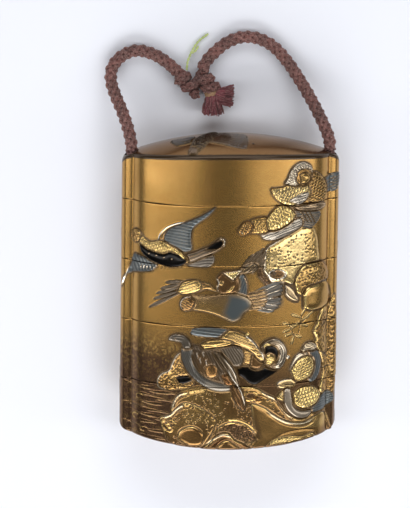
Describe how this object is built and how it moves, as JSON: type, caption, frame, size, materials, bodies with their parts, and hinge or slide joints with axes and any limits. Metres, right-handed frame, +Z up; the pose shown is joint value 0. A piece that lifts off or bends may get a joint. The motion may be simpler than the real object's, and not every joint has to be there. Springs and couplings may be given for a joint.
{
  "type": "inro case",
  "caption": "Small oval case of five nested pieces with a domed lid, raised birds and rocks on its front, and a cord through channels at its sides, tied in a knot above the lid.",
  "frame": {"origin": "under the middle of the case, on the surface that its back lies on", "axes": "+X across the case to its right runner, +Y along the case to the crown of the lid, +Z up, out of the decorated front"},
  "size_m": [0.0623, 0.1115, 0.0248],
  "materials": {
    "gold_lacquer": "satin gold lacquer over a thin wooden core, with gold, silver and black on the relief",
    "cord_silk": "braided silk, red-brown",
    "frayed_silk": "loose crimson silk fibres",
    "thread_cotton": "thin yellow-green thread"
  },
  "bodies": {
    "root": {"lid": "gold_lacquer", "case_upper": "gold_lacquer", "case_middle": "gold_lacquer", "case_lower": "gold_lacquer", "case_base": "gold_lacquer", "cord_held": "cord_silk", "cord_loop_left": "cord_silk", "cord_loop_right": "cord_silk", "knot": "cord_silk", "tuft_long": "frayed_silk", "tuft_short": "frayed_silk", "tag_thread": "thread_cotton"}
  },
  "joints": []
}
